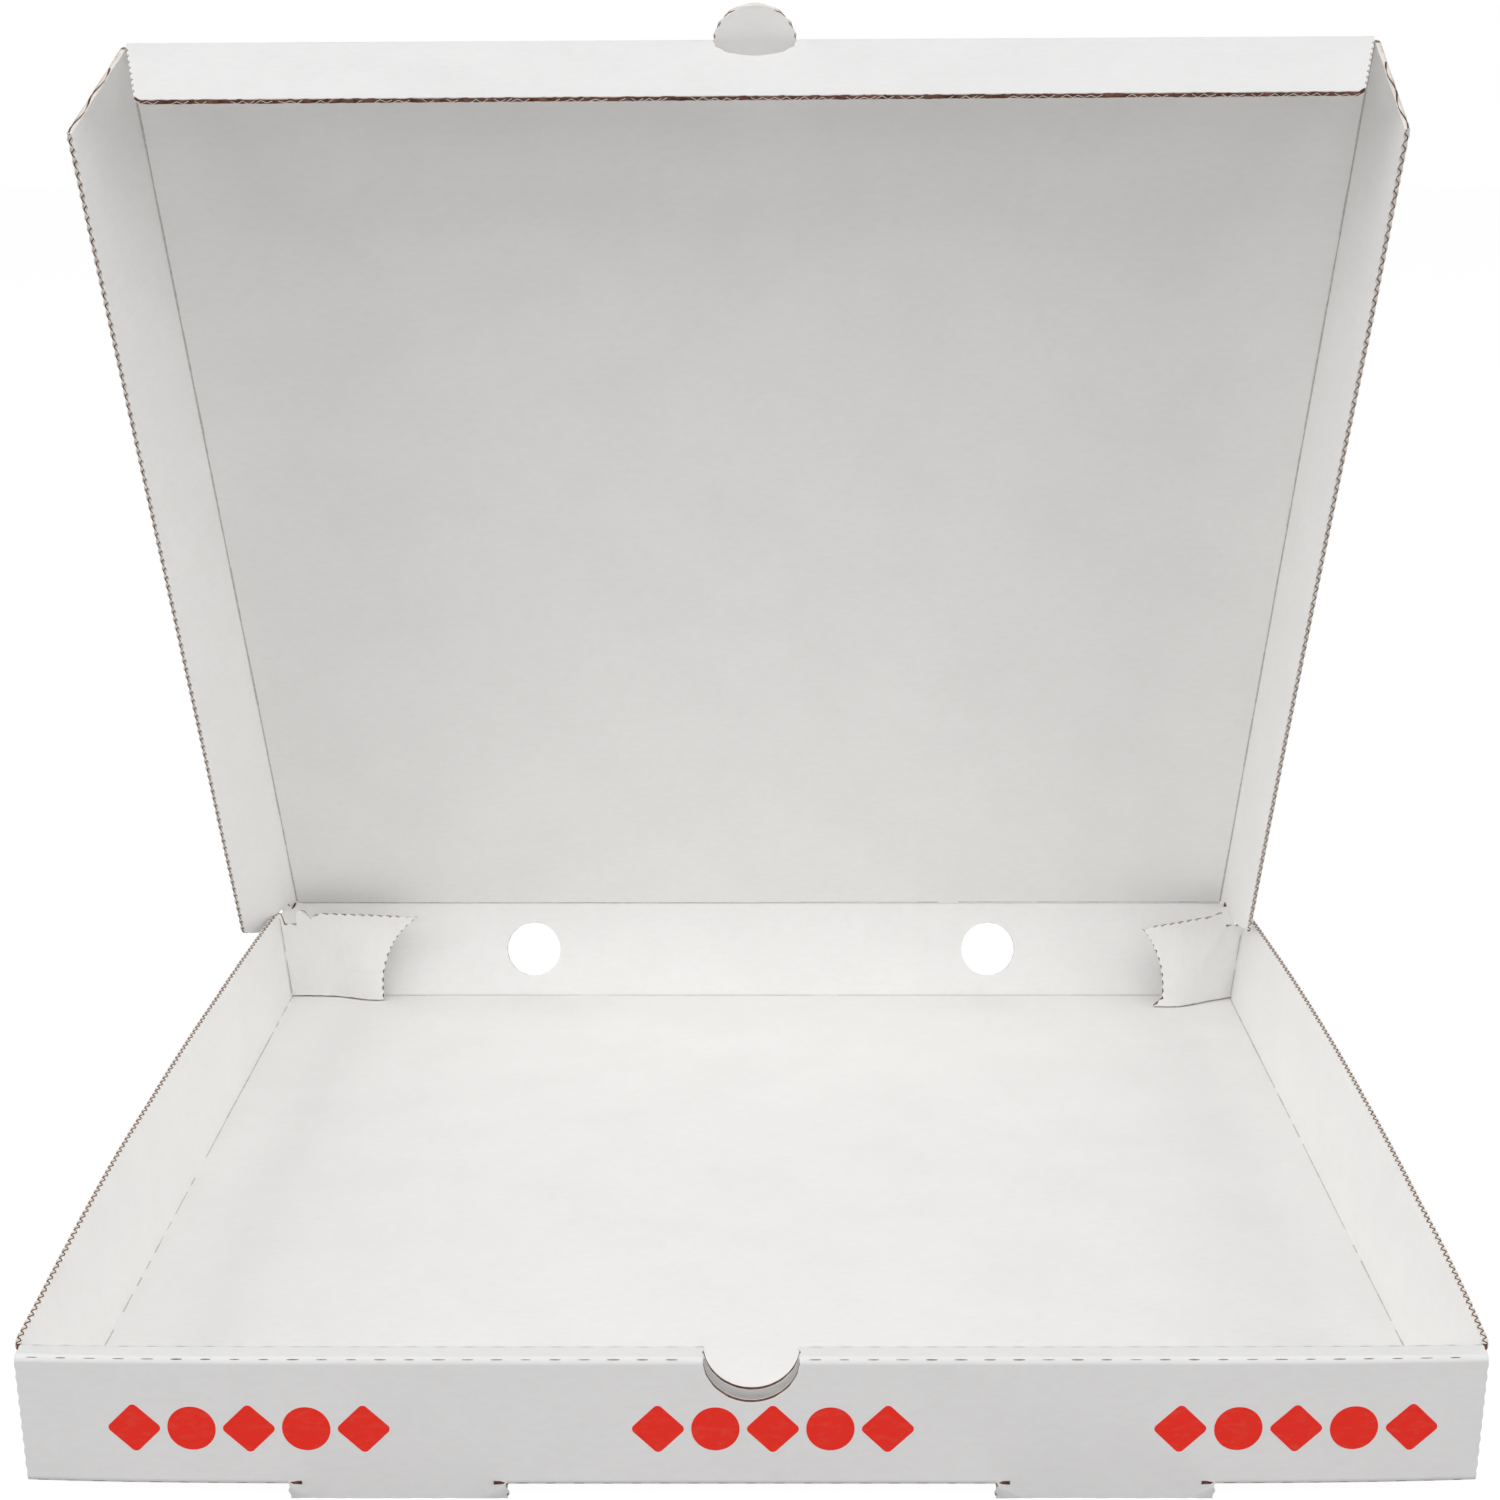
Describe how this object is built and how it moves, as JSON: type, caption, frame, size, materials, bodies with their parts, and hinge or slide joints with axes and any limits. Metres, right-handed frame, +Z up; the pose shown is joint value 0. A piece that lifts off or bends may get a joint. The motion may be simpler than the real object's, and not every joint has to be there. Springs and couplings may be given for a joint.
{
  "type": "pizza box",
  "caption": "Open folding pizza box of thin white corrugated board: shallow tray with a double front wall, hinged lid with tucked flaps and a thumb tab.",
  "frame": {"origin": "under the middle of the open box, on the surface that it stands on", "axes": "+Z up, +Y from the front wall to the hinged rear, +X to the right seen from the front"},
  "size_m": [0.3454, 0.334, 0.323],
  "materials": {
    "board": "matt white liners over brown fluting"
  },
  "bodies": {
    "tray": {"tray": "board"},
    "back_wall": {"back_wall": "board"},
    "lid": {"lid": "board"}
  },
  "joints": [
    {"name": "back_wall_hinge", "type": "hinge", "parent": "tray", "child": "back_wall", "pos_m": [-0.0008, 0.15508, 0.00152], "axis": [-1, 0, 0], "range_deg": [-18.31, 18.6]},
    {"name": "lid_hinge", "type": "hinge", "parent": "back_wall", "child": "lid", "pos_m": [-0.0008, 0.1656, 0.03206], "axis": [-1, 0, 0], "range_deg": [-44.7, 45.3]}
  ],
  "couplings": [
    {"joint": "back_wall_hinge", "follows": "lid_hinge", "ratio": 0.4094}
  ]
}
